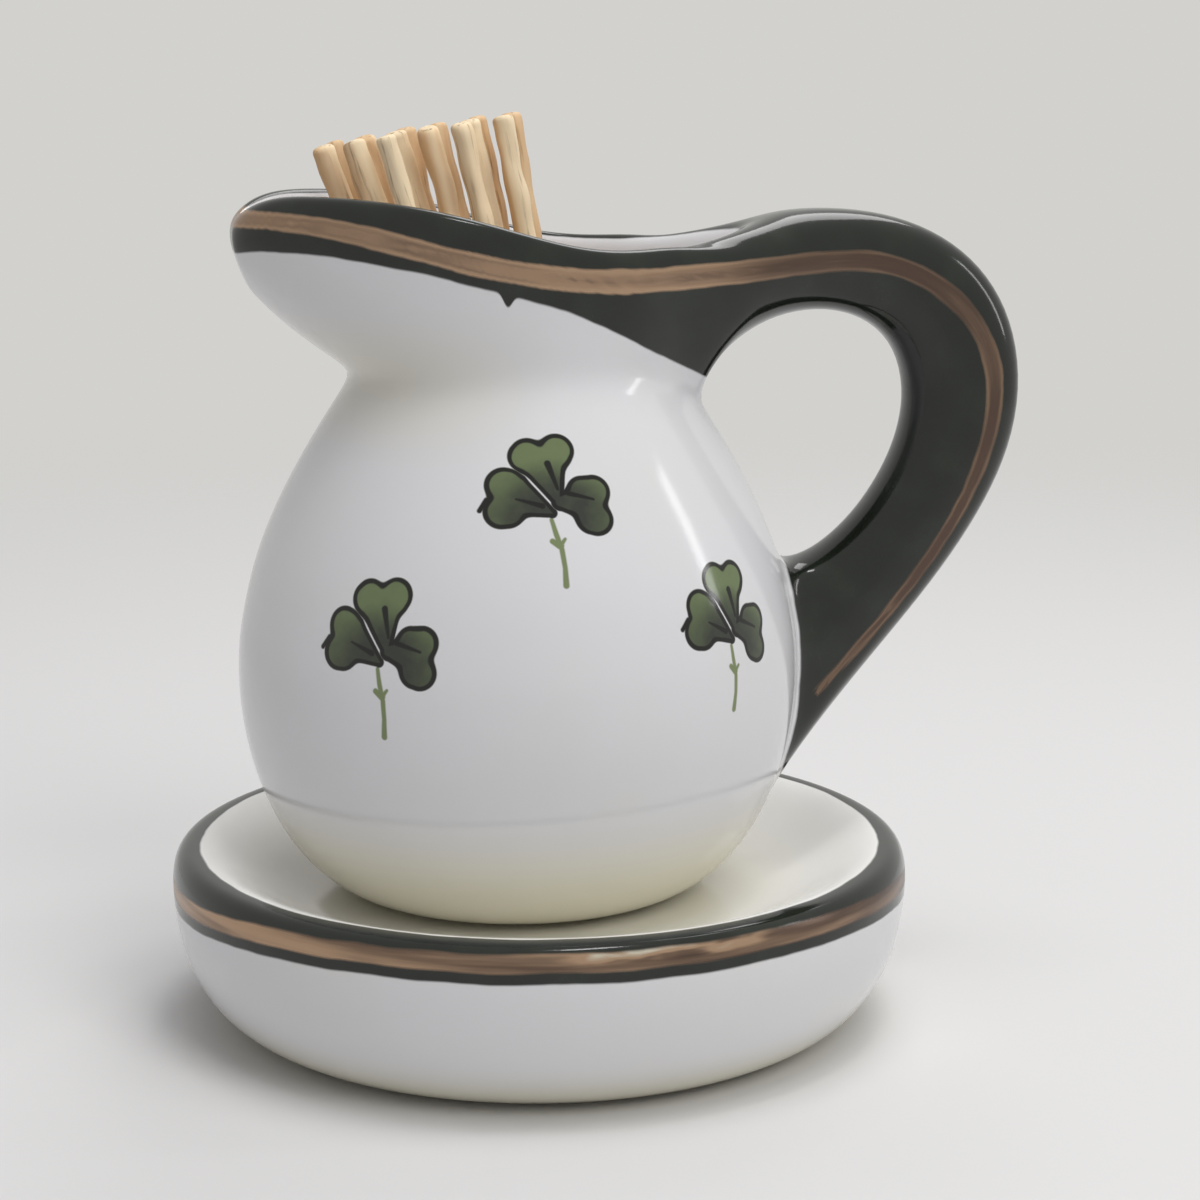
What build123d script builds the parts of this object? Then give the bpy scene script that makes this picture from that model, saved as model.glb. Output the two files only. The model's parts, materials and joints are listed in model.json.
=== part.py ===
"""Toothpick holder: a small porcelain jug standing in a shallow basin, with wooden toothpicks in its mouth.

Millimetres, +Z up. The origin is the middle of the basin's foot, on the table. The lip points to -X,
the handle to +X, and the jug and basin are alike on both sides of the XZ plane. Reaches and heights on
the jug are counted from the middle of its own foot.
"""
import os
from math import atan2, cos, pi, sin

from build123d import *

# Basin
BASIN_R = 30.0  # widest radius, just under the rim
BASIN_HEIGHT = 14.5
RIM_SHOULDER_DROP = 2.6  # the rim's outer round: how far it falls and how far it comes in
RIM_SHOULDER_RUN = 1.6
RIM_FLAT = 0.8  # width of the level top of the rim
DISH_DEPTH = 3.8
DISH_FLOOR_R = 22.5
DISH_SIDE_RUN = 1.8  # how steeply the dish leaves the rim
BASIN_FOOT_R = 21.2
BASIN_FLARE = 6.4  # how far the side leans out above the foot before it rises
BASIN_SWELL = 6.0  # height that the side is drawn towards as it turns upright
FOOT_RING_WIDTH = 3.2
BASIN_FLOOR_WALL = 3.2
HOLLOW_ROUND = 1.5

# Jug body
JUG_X = -1.75  # the jug stands a little off the middle of the dish, towards its lip
JUG_FOOT_R = 11.4
JUG_FLARE = 6.6  # how far the belly leans out above the foot before it rises
BELLY_R = 22.6
BELLY_HEIGHT = 18.2
BELLY_RISE = 10.0  # how far the belly stays upright above its widest point
NECK_R = 12.9
NECK_HEIGHT = 42.3
SHOULDER_RUN = 4.2  # slope of the shoulder where it meets the neck, as a run and a fall
SHOULDER_FALL = 6.3
NECK_ROUND = 1.0
JUG_WALL = 2.2
JUG_FLOOR_WALL = 2.2
FOOT_RECESS_R = 9.0
FOOT_RECESS_DEPTH = 0.7

# Collar and mouth, with heights counted from the neck
LIP_REACH = 22.7  # to the end of the pouring lip
TAIL_REACH = 20.6  # to the back end of the mouth, where the handle springs
MOUTH_HALF_WIDTH = 14.0
MOUTH_END_R = 4.2
WAIST_RISE = 6.1  # where the collar has taken on the shape of the mouth
WAIST_LIP_REACH = 20.6
WAIST_TAIL_REACH = 17.6
WAIST_HALF_WIDTH = 13.5
WAIST_END_R = 6.0
LIP_RISE = 13.9  # crest of the rim, just behind the end of the lip
LIP_CREST_BACK = 5.6  # from the end of the lip back to that crest
LIP_DROP = 5.7  # how far the rim's line curls down past the end of the lip
LIP_CURL_OUT = 0.5  # how far past the end of the lip that line starts
DIP_RISE = 9.8  # lowest point of the rim
DIP_X = 7.0
TAIL_RISE = 11.6  # rim where the handle springs
RIM_ROUND = 0.8
COLLAR_SPARE = 2.0  # the collar is drawn this much higher than the lip, then trimmed to the rim
OUTLINE_POINTS = 16  # points that the collar's level outlines are drawn through

# Handle
HANDLE_REACH = 41.6  # to the outside of the loop
HANDLE_THICKNESS = 9.3
HANDLE_WIDTH = 7.0
HANDLE_EDGE_ROUND = 2.6
HANDLE_WIDEST_DROP = 2.3  # from the neck down to where the loop reaches out furthest
HANDLE_SPRING = 11.7  # how far the top runs on from the rim before it bends over
HANDLE_ARCH = 2.9  # how far the top is drawn up above the rim
OUTER_UPPER_PULL = 12.3  # how far the outside stays upright above and below its widest point
OUTER_LOWER_PULL = 9.6
INNER_UPPER_PULL = 9.4  # the same for the finger hole
INNER_LOWER_PULL = 6.3
ROOT_PULL = 4.0  # how far the hole's upper bend is drawn out from the neck
TAIL_SINK = 3.6  # how deep the lower ends are drawn into the belly, to be trimmed by it
TAIL_DROP = 10.4  # lower end of the outside, below the belly's widest point
TAIL_RUN = 11.4  # slope of the outside where it runs into the belly, as a run and a climb
TAIL_CLIMB = 10.9
HOLE_SINK = 1.6
HOLE_RISE = 5.0  # lower end of the finger hole, above the belly's widest point
HOLE_RUN = 6.6
HOLE_CLIMB = 4.8

# Toothpicks
PICK_COUNT = 14
PICK_LENGTH = 61.0
PICK_R = 1.0
PICK_TIP_R = 0.25
PICK_TAPER = 9.0
PICK_TOP_ROUND = 0.35
PICK_ROWS = 5
PICK_ROW_GAP = 0.15  # between neighbouring rows of picks
PICK_FILE_GAP = 0.2  # between a pick's foot and the next one in its row
PICK_FOOT_X = 5.1  # foot of the first pick, from the jug's axis
PICK_NECK_GAP = 0.75  # between the first pick and the neck that it leans against
PICK_NECK_PITCH = 0.96  # from one pick to the next at the neck
PICK_SEAT_GAP = 0.25  # between a pick's point and the floor of the jug

DISH_FLOOR_Z = BASIN_HEIGHT - DISH_DEPTH
SIDE = Plane(origin=(JUG_X, 0, DISH_FLOOR_Z), x_dir=(1, 0, 0), z_dir=(0, -1, 0))
LIP_SIDE = Plane(origin=(JUG_X, 0, DISH_FLOOR_Z), x_dir=(-1, 0, 0), z_dir=(0, 1, 0))
JUG_AXIS = Axis((JUG_X, 0, 0), (0, 0, 1))

os.makedirs("parts", exist_ok=True)


def jug_level(height):
    """Level plane at a height above the jug's foot, with its origin on the jug's axis and X to the lip."""
    return Plane(origin=(JUG_X, 0, DISH_FLOOR_Z + height), x_dir=(-1, 0, 0), z_dir=(0, 0, 1))


def mouth_section(height, lip, tail, half_width, end_r):
    """Level face with one smooth outline: an ellipse whose two ends are pinched to a smaller round."""
    reach = (lip + tail) / 2
    pinch = 1 - (end_r * reach) ** 0.5 / half_width
    turns = [2 * pi * step / OUTLINE_POINTS for step in range(OUTLINE_POINTS)]
    points = [
        ((lip - tail) / 2 + reach * cos(turn), half_width * sin(turn) * (1 - pinch * cos(turn) ** 2))
        for turn in turns
    ]
    with BuildLine(jug_level(height)) as outline:
        Spline(*points, periodic=True)
    return make_face(outline.edges())


def collar_sections(inset):
    """The collar at the neck, at its waist and above the mouth, moved in by a wall."""
    waist = [size - inset for size in (WAIST_LIP_REACH, WAIST_TAIL_REACH, WAIST_HALF_WIDTH, WAIST_END_R)]
    mouth = [size - inset for size in (LIP_REACH, TAIL_REACH, MOUTH_HALF_WIDTH, MOUTH_END_R)]
    with BuildSketch(jug_level(NECK_HEIGHT)) as neck:
        Circle(NECK_R - inset)
    return [
        neck.sketch.face(),
        mouth_section(NECK_HEIGHT + WAIST_RISE, *waist),
        mouth_section(NECK_HEIGHT + LIP_RISE + COLLAR_SPARE, *mouth),
    ]


def belly_face(inset, floor):
    """Half outline of the belly from its floor to the neck, moved in by a wall and closed along the axis."""
    foot = (JUG_FOOT_R - inset / 2, floor)
    belly = (BELLY_R - inset, BELLY_HEIGHT)
    neck = (NECK_R - inset, NECK_HEIGHT)
    shoulder = (neck[0] + SHOULDER_RUN, NECK_HEIGHT - SHOULDER_FALL)
    with BuildSketch(LIP_SIDE) as face:
        with BuildLine():
            Line((0, floor), foot)
            Bezier(foot, (foot[0] + JUG_FLARE, floor), (belly[0], (BELLY_HEIGHT + floor) / 2), belly)
            Bezier(belly, (belly[0], BELLY_HEIGHT + BELLY_RISE), shoulder, neck)
            Line(neck, (0, NECK_HEIGHT))
            Line((0, NECK_HEIGHT), (0, floor))
        make_face()
    return face.sketch


# Basin: one turned outline, with a shallow dish on top and a hollow foot underneath
hollow_r = BASIN_FOOT_R - FOOT_RING_WIDTH
hollow_z = DISH_FLOOR_Z - BASIN_FLOOR_WALL
shoulder_z = BASIN_HEIGHT - RIM_SHOULDER_DROP
rim_outer_r = BASIN_R - RIM_SHOULDER_RUN
rim_inner_r = rim_outer_r - RIM_FLAT
dish_side_r = rim_inner_r - DISH_SIDE_RUN
with BuildPart() as basin:
    with BuildSketch(Plane.XZ):
        with BuildLine():
            Line((0, hollow_z), (hollow_r - HOLLOW_ROUND, hollow_z))
            RadiusArc((hollow_r - HOLLOW_ROUND, hollow_z), (hollow_r, hollow_z - HOLLOW_ROUND), HOLLOW_ROUND)
            Line((hollow_r, hollow_z - HOLLOW_ROUND), (hollow_r, 0))
            Line((hollow_r, 0), (BASIN_FOOT_R, 0))
            Bezier(
                (BASIN_FOOT_R, 0),
                (BASIN_FOOT_R + BASIN_FLARE, 0),
                (BASIN_R, BASIN_SWELL),
                (BASIN_R, shoulder_z),
            )
            Bezier((BASIN_R, shoulder_z), (BASIN_R, BASIN_HEIGHT), (rim_outer_r, BASIN_HEIGHT))
            Line((rim_outer_r, BASIN_HEIGHT), (rim_inner_r, BASIN_HEIGHT))
            Bezier(
                (rim_inner_r, BASIN_HEIGHT),
                (dish_side_r, BASIN_HEIGHT),
                (dish_side_r, DISH_FLOOR_Z),
                (DISH_FLOOR_R, DISH_FLOOR_Z),
            )
            Line((DISH_FLOOR_R, DISH_FLOOR_Z), (0, DISH_FLOOR_Z))
            Line((0, DISH_FLOOR_Z), (0, hollow_z))
        make_face()
    revolve(axis=Axis.Z)
basin.part.label = "basin"
export_step(basin.part, "parts/basin.step")

# The jug's full form and the hollow inside it, which shape the body and seat the handle and the picks
neck_z = DISH_FLOOR_Z + NECK_HEIGHT
form_belly = belly_face(0, 0)
form_collar = collar_sections(0)
with BuildPart() as jug_form:
    revolve(form_belly, axis=JUG_AXIS)
    loft(form_collar)
    neck_edges = jug_form.edges().filter_by_position(Axis.Z, neck_z - NECK_ROUND, neck_z + NECK_ROUND)
    fillet(neck_edges, NECK_ROUND)

hollow_belly = belly_face(JUG_WALL, JUG_FLOOR_WALL)
hollow_collar = collar_sections(JUG_WALL)
with BuildPart() as jug_hollow:
    revolve(hollow_belly, axis=JUG_AXIS)
    loft(hollow_collar)

# Jug body: the form less its hollow, trimmed to the swaying line of the rim and hollowed under the foot
lip_height = NECK_HEIGHT + LIP_RISE
dip_height = NECK_HEIGHT + DIP_RISE
lip_end = (-LIP_REACH - LIP_CURL_OUT, lip_height - LIP_DROP)
lip_crest = (LIP_CREST_BACK - LIP_REACH, lip_height)
rim_dip = (DIP_X, dip_height)
rim_tail = (TAIL_REACH, NECK_HEIGHT + TAIL_RISE)
trim_top = lip_height + 2 * COLLAR_SPARE
with BuildPart() as above_rim:
    with BuildSketch(SIDE.offset(-BELLY_R)):
        with BuildLine():
            Bezier(lip_end, (lip_end[0], lip_height), lip_crest)
            Bezier(lip_crest, ((lip_crest[0] + DIP_X) / 2, lip_height), (0, dip_height), rim_dip)
            Bezier(rim_dip, ((DIP_X + TAIL_REACH) / 2, dip_height), rim_tail)
            Polyline(rim_tail, (TAIL_REACH, trim_top), (lip_end[0], trim_top), lip_end)
        make_face()
    extrude(amount=2 * BELLY_R)

with BuildPart() as jug_body:
    add(jug_form.part)
    add(jug_hollow.part, mode=Mode.SUBTRACT)
    add(above_rim.part, mode=Mode.SUBTRACT)
    rim_edges = jug_body.faces().filter_by(GeomType.EXTRUSION).edges()
    fillet(rim_edges, min(RIM_ROUND, JUG_WALL * 0.4))
    with BuildSketch(jug_level(0)):
        Circle(FOOT_RECESS_R)
    extrude(amount=FOOT_RECESS_DEPTH, mode=Mode.SUBTRACT)
jug_body.part.label = "jug_body"
export_step(jug_body.part, "parts/jug_body.step")

# Handle: a flat cast loop with rounded edges, fitted to the collar's tail and to the side of the belly
root_top = (TAIL_REACH - MOUTH_END_R / 2, rim_tail[1])
root_inside = (NECK_R - JUG_WALL, NECK_HEIGHT)
root_bottom = (NECK_R, NECK_HEIGHT - SHOULDER_FALL / 2)
widest = NECK_HEIGHT - HANDLE_WIDEST_DROP
inner_reach = HANDLE_REACH - HANDLE_THICKNESS
outer_side = (HANDLE_REACH, widest)
inner_side = (inner_reach, widest)
tail_foot = (BELLY_R - TAIL_SINK, BELLY_HEIGHT - TAIL_DROP)
hole_foot = (BELLY_R - HOLE_SINK, BELLY_HEIGHT + HOLE_RISE)
with BuildPart() as jug_handle:
    with BuildSketch(SIDE.offset(-HANDLE_WIDTH / 2)):
        with BuildLine():
            Bezier(
                root_top,
                (root_top[0] + HANDLE_SPRING, root_top[1] + HANDLE_ARCH),
                (HANDLE_REACH, widest + OUTER_UPPER_PULL),
                outer_side,
            )
            Bezier(
                outer_side,
                (HANDLE_REACH, widest - OUTER_LOWER_PULL),
                (tail_foot[0] + TAIL_RUN, tail_foot[1] + TAIL_CLIMB),
                tail_foot,
            )
            Line(tail_foot, hole_foot)
            Bezier(
                hole_foot,
                (hole_foot[0] + HOLE_RUN, hole_foot[1] + HOLE_CLIMB),
                (inner_reach, widest - INNER_LOWER_PULL),
                inner_side,
            )
            Bezier(
                inner_side,
                (inner_reach, widest + INNER_UPPER_PULL),
                (root_bottom[0] + ROOT_PULL, widest + INNER_UPPER_PULL),
                root_bottom,
            )
            Polyline(root_bottom, root_inside, root_top)
        make_face()
    extrude(amount=HANDLE_WIDTH)
    side_edges = jug_handle.faces().filter_by(Axis.Y).edges()
    fillet(side_edges.filter_by(GeomType.LINE, reverse=True), HANDLE_EDGE_ROUND)
    add(jug_form.part, mode=Mode.SUBTRACT)
jug_handle.part.label = "jug_handle"
export_step(jug_handle.part, "parts/jug_handle.step")

# Toothpicks: turned picks that fan out towards the lip, each with its point on the floor of the jug
row_pitch = 2 * PICK_R + PICK_ROW_GAP
foot_pitch = (2 * PICK_R + PICK_FILE_GAP) / PICK_ROWS
first_neck_x = PICK_NECK_GAP + PICK_R - (NECK_R - JUG_WALL)
for index in range(PICK_COUNT):
    foot_x = PICK_FOOT_X + foot_pitch * index
    neck_x = first_neck_x + PICK_NECK_PITCH * index
    row = (2 * index + 2) % PICK_ROWS - (PICK_ROWS - 1) / 2
    lean = atan2(foot_x - neck_x, NECK_HEIGHT - JUG_FLOOR_WALL)
    along = Vector(-sin(lean), 0, cos(lean))
    across = Vector(cos(lean), 0, sin(lean))
    floor_point = Vector(JUG_X + foot_x, row_pitch * row, DISH_FLOOR_Z + JUG_FLOOR_WALL)
    crossings = jug_hollow.part.find_intersection_points(Axis(floor_point, along))
    seat = min((point for point, normal in crossings), key=lambda point: point.Z)
    tip = seat + along * PICK_SEAT_GAP
    with BuildPart() as toothpick:
        with BuildSketch(Plane(origin=tip, x_dir=across, z_dir=(0, -1, 0))):
            with BuildLine():
                Polyline(
                    (0, 0),
                    (PICK_TIP_R, 0),
                    (PICK_R, PICK_TAPER),
                    (PICK_R, PICK_LENGTH - PICK_TOP_ROUND),
                    (PICK_R - PICK_TOP_ROUND, PICK_LENGTH),
                    (0, PICK_LENGTH),
                    close=True,
                )
            make_face()
        revolve(axis=Axis(tip, along))
    name = f"toothpick_{index + 1:02d}"
    toothpick.part.label = name
    export_step(toothpick.part, f"parts/{name}.step")
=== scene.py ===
import json
from math import asin, copysign, cos, pi, radians, sin
from random import Random

import bmesh
import bpy
import numpy as np
from mathutils import Color, Matrix, Vector


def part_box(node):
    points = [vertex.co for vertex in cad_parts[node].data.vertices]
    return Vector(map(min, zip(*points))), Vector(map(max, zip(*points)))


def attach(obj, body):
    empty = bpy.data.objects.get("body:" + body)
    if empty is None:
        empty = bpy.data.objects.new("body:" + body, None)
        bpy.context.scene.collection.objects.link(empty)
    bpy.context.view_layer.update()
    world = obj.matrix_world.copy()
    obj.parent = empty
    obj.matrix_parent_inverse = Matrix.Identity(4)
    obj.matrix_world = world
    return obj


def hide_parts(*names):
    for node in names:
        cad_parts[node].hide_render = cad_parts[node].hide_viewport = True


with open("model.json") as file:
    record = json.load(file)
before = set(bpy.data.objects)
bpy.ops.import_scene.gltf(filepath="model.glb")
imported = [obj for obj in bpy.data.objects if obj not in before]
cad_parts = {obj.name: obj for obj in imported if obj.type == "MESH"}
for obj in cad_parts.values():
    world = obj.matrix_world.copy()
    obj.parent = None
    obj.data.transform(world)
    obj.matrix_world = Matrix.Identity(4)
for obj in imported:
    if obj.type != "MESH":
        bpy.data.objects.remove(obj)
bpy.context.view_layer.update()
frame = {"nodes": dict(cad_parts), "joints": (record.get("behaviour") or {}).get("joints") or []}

# Basin
# A thick saucer of white porcelain with a rounded rim, a shallow dish that the jug stands in, and a hollow
# foot. It is cast in a mould and glazed all over, but for the ring that it stands on. The rim is banded by
# hand, in green glaze with a line of copper lustre.
MM = 0.001
BASIN_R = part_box("basin")[1].x
BASIN_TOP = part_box("basin")[1].z
DISH_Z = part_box("jug_body")[0].z
DISH_R = 18.5 * MM
DISH_SIDE_RUN = 2.2 * MM
DISH_FILLET = 4.0 * MM
DISH_EASE = 0.3 * MM
DISH_SHARES = (0.5, 0.125)
DISH_STEPS = 18
RIM_SHOULDER_DROP = 2.6 * MM
RIM_SHOULDER_RUN = 1.6 * MM
RIM_FLAT = 0.8 * MM
RIM_STEPS = 10
SIDE_FLARE = 6.4 * MM
SIDE_SWELL = 6.0 * MM
SIDE_STEPS = 18
FOOT_R = 21.2 * MM
FOOT_RING = 3.2 * MM
FOOT_EDGE = 0.4 * MM
FOOT_STEPS = 3
BASIN_FLOOR = 3.2 * MM
HOLLOW_ROUND = 1.5 * MM
HOLLOW_STEPS = 4
CENTRE_SHARE = 0.25
BASIN_COLUMNS = 128
SHARP_CORNER = radians(45)


def bezier(points, steps):
    """Points along the curve that a few control points draw, with both ends."""
    shares = np.linspace(0, 1, steps + 1)[:, None]
    layers = [np.array(point)[None, :] for point in points]
    while len(layers) > 1:
        layers = [first + (second - first) * shares for first, second in zip(layers, layers[1:])]
    return layers[0]


def even_turns(columns):
    """Turns of columns that stand evenly round a ring."""
    return [2 * pi * column / columns for column in range(columns)]


def round_ring(radius, height, turns, centre_x=0.0):
    """A level ring of points, one at each turn."""
    return [(centre_x + radius * cos(turn), radius * sin(turn), height) for turn in turns]


def begin_piece(name, columns, radius):
    """A new piece in edit mode: one selected ring of edges, with its columns numbered."""
    bpy.ops.object.select_all(action="DESELECT")
    bpy.ops.mesh.primitive_circle_add(vertices=columns, radius=radius)
    piece = bpy.context.active_object
    piece.name = name
    piece.data.name = name
    bpy.ops.object.mode_set(mode="EDIT")
    shape = bmesh.from_edit_mesh(piece.data)
    column = shape.verts.layers.int.new("column")
    shape.verts.layers.int.new("row")
    shape.verts.layers.float.new("inside")
    for number, vert in enumerate(shape.verts):
        vert[column] = number
    bmesh.update_edit_mesh(piece.data)
    return piece


def place_ring(piece, ring, row, inside=0.0):
    """Puts the selected ring of vertices in its place, column by column."""
    shape = bmesh.from_edit_mesh(piece.data)
    layers = shape.verts.layers
    for vert in shape.verts:
        if vert.select:
            vert.co = ring[vert[layers.int["column"]]]
            vert[layers.int["row"]] = row
            vert[layers.float["inside"]] = inside
    bmesh.update_edit_mesh(piece.data)


def raise_wall(piece, rings, inside=None):
    """Extrudes the selected ring from each place to the next, and closes both ends."""
    for row, ring in enumerate(rings):
        if row:
            bpy.ops.mesh.extrude_region()
        place_ring(piece, ring, row, inside[row] if inside else 0.0)
    bpy.ops.mesh.select_all(action="SELECT")
    bpy.ops.mesh.fill_holes(sides=0)
    bpy.ops.mesh.select_all(action="SELECT")
    bpy.ops.mesh.normals_make_consistent(inside=False)


def drop_marks(piece):
    """Takes away the numbers that only the modelling needed."""
    for name in ("column", "row", "inside"):
        piece.data.attributes.remove(piece.data.attributes[name])


hollow_r = FOOT_R - FOOT_RING
hollow_z = DISH_Z - BASIN_FLOOR
rim_outer_r = BASIN_R - RIM_SHOULDER_RUN
rim_inner_r = rim_outer_r - RIM_FLAT
shoulder_z = BASIN_TOP - RIM_SHOULDER_DROP
hollow_start = (hollow_r - HOLLOW_ROUND, hollow_z)
hollow_corner = [hollow_start, (hollow_r, hollow_z), (hollow_r, hollow_z - HOLLOW_ROUND)]
foot_corner = [(hollow_r, FOOT_EDGE), (hollow_r, 0.0), (hollow_r + FOOT_EDGE, 0.0)]
side = [(FOOT_R, 0.0), (FOOT_R + SIDE_FLARE, 0.0), (BASIN_R, SIDE_SWELL), (BASIN_R, shoulder_z)]
rim = [(BASIN_R, shoulder_z), (BASIN_R, BASIN_TOP), (rim_outer_r, BASIN_TOP)]
dish_side = (rim_inner_r - DISH_SIDE_RUN, BASIN_TOP - DISH_EASE)
dish_corner = (DISH_R + DISH_FILLET, DISH_Z + DISH_EASE)
dish_wall = [(rim_inner_r, BASIN_TOP), dish_side, dish_corner, (DISH_R, DISH_Z)]
basin_outline = np.concatenate(
    [
        [(hollow_r * CENTRE_SHARE, hollow_z), (hollow_r - 2 * HOLLOW_ROUND, hollow_z)],
        bezier(hollow_corner, HOLLOW_STEPS),
        bezier(foot_corner, FOOT_STEPS),
        [(FOOT_R - FOOT_EDGE, 0.0)],
        bezier(side, SIDE_STEPS),
        bezier(rim, RIM_STEPS)[1:],
        bezier(dish_wall, DISH_STEPS),
        [(DISH_R - DISH_FILLET, DISH_Z)],
        [(DISH_R * share, DISH_Z) for share in DISH_SHARES],
    ]
)
basin_turns = even_turns(BASIN_COLUMNS)
basin = begin_piece("glazed_basin", BASIN_COLUMNS, hollow_r * CENTRE_SHARE)
raise_wall(basin, [round_ring(radius, height, basin_turns) for radius, height in basin_outline])
bpy.ops.object.mode_set(mode="OBJECT")
drop_marks(basin)
bpy.ops.object.shade_smooth_by_angle(angle=SHARP_CORNER)


class Shade:
    """A value in a finish: one socket of a node, on which sums add Math nodes."""

    def __init__(self, tree, socket):
        self.tree = tree
        self.socket = socket

    def feed(self, node, sockets):
        """Sets or links sockets of a node."""
        for name, value in sockets.items():
            if isinstance(value, Shade):
                self.tree.links.new(value.socket, node.inputs[name])
            else:
                node.inputs[name].default_value = value

    def node(self, kind, settings, sockets, out=0):
        """Any other node, from its type, its settings and the values or links of its sockets."""
        node = self.tree.nodes.new(kind)
        for name, setting in settings.items():
            setattr(node, name, setting)
        self.feed(node, sockets)
        return Shade(self.tree, node.outputs[out])

    def math(self, operation, *values):
        return self.node("ShaderNodeMath", {"operation": operation}, dict(enumerate(values)))

    def __add__(self, other):
        return self.math("ADD", self, other)

    def __radd__(self, other):
        return self.math("ADD", other, self)

    def __sub__(self, other):
        return self.math("SUBTRACT", self, other)

    def __rsub__(self, other):
        return self.math("SUBTRACT", other, self)

    def __mul__(self, other):
        return self.math("MULTIPLY", self, other)

    def __rmul__(self, other):
        return self.math("MULTIPLY", other, self)

    def __truediv__(self, other):
        return self.math("DIVIDE", self, other)

    def __rtruediv__(self, other):
        return self.math("DIVIDE", other, self)

    def __pow__(self, other):
        return self.math("POWER", self, other)

    def __rpow__(self, other):
        return self.math("POWER", other, self)

    def __abs__(self):
        return self.math("ABSOLUTE", self)

    def least(self, other):
        return self.math("MINIMUM", self, other)

    def most(self, other):
        return self.math("MAXIMUM", self, other)

    def below(self, other):
        return self.math("LESS_THAN", self, other)

    def rise(self, low, high):
        """Goes smoothly from 0 at the low value to 1 at the high one."""
        limits = {"Value": self, "From Min": low, "From Max": high}
        return self.node("ShaderNodeMapRange", {"interpolation_type": "SMOOTHSTEP"}, limits)

    def fall(self, low, high):
        """Goes smoothly from 1 at the low value to 0 at the high one."""
        return 1 - self.rise(low, high)

    def between(self, first, second):
        """The first colour where this value is 0, and the second where it is 1."""
        # The Mix node has its colours in inputs 6 and 7, and their mixture in output 2.
        return self.node("ShaderNodeMix", {"data_type": "RGBA"}, {0: self, 6: first, 7: second}, 2)

    def vector(self, operation, other, out="Vector"):
        return self.node("ShaderNodeVectorMath", {"operation": operation}, {0: self, 1: other}, out)

    def dot(self, other):
        return self.vector("DOT_PRODUCT", other, "Value")

    def noise(self, scale, detail=2.0):
        """Soft noise from 0 to 1, with this many blotches to a metre."""
        return self.node("ShaderNodeTexNoise", {}, {"Vector": self, "Scale": scale, "Detail": detail})

    def sway(self, scale, span):
        """Soft noise over a span, half of it below 0."""
        return (self.noise(scale) - 0.5) * span

    def stored(self, name, out="Fac"):
        """What the mesh keeps at each of its points: a number, or a place from the output Vector."""
        return self.node("ShaderNodeAttribute", {"attribute_name": name}, {}, out)

    def bump(self, strength, depth):
        """The normal of a surface that has this value as its relief."""
        return self.node("ShaderNodeBump", {}, {"Strength": strength, "Distance": depth, "Height": self})


def new_finish(piece, name):
    """A material for the piece, with the place on the piece to build it from."""
    material = bpy.data.materials.new(name)
    material.use_nodes = True
    piece.data.materials.clear()
    piece.data.materials.append(material)
    tree = material.node_tree
    return Shade(tree, tree.nodes.new("ShaderNodeTexCoord").outputs["Object"])


def dress(place, sockets):
    """Sets or links the sockets of the finish's shader."""
    place.feed(next(node for node in place.tree.nodes if node.type == "BSDF_PRINCIPLED"), sockets)


def apart(place):
    """The three coordinates of a place, as numbers."""
    split = place.node("ShaderNodeSeparateXYZ", {}, {"Vector": place})
    return [Shade(place.tree, output) for output in split.socket.node.outputs]


def paint(code):
    """A colour from its usual six-figure code."""
    parts = [part / 255 for part in bytes.fromhex(code)]
    return (*Color(parts).from_srgb_to_scene_linear(), 1.0)


GLAZE_WHITE = paint("dcdcdd")
# Cream near the basin's foot, and the warm tint of painted light and shade.
CREAM_AND_PAINTED_WARMTH = paint("d9d3b7")
GLAZE_GREEN = paint("191d17")
GLAZE_GREEN_THIN = paint("2b3129")
COPPER_DARK = paint("5b4a40")
COPPER_LIGHT = paint("b3957a")
# The palest copper: random pale spots in the lustre, and painted highlights.
COPPER_PALE_AND_SHEEN = paint("d3cbb8")
BARE_CLAY = paint("d9d2c4")
EDGE_BLUR = 0.12 * MM
FINE_DETAIL = 3.0
CLOUD_SCALE = 70.0
CLOUD_RANGE = (0.4, 1.0)
CLOUD_DEPTH = 0.2
THIN_SCALE = 240.0
THIN_RANGE = (0.4, 0.9)
THIN_DEPTH = 0.6
LUSTRE_RANGE = (0.25, 0.75)
PALE_AND_SHEEN_RANGE = (0.9, 1.5)
WAVE_SCALE = 110.0
PIT_SCALE = 2600.0
PIT_RELIEF = 0.12
GREEN_RELIEF = 0.5
COPPER_RELIEF = 0.25
RIPPLE_STRENGTH = 0.5
RIPPLE_DEPTH = 0.05 * MM
GLAZE_ROUGHNESS = 0.12
COPPER_ROUGHNESS = 0.16
BARE_ROUGHNESS = 0.6
COPPER_METAL = 0.7
GLAZE_IOR = 1.5


def past(value, level=0.0):
    """What lies past a level, with the soft edge of brushed glaze."""
    return value.rise(level - EDGE_BLUR, level + EDGE_BLUR)


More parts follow.
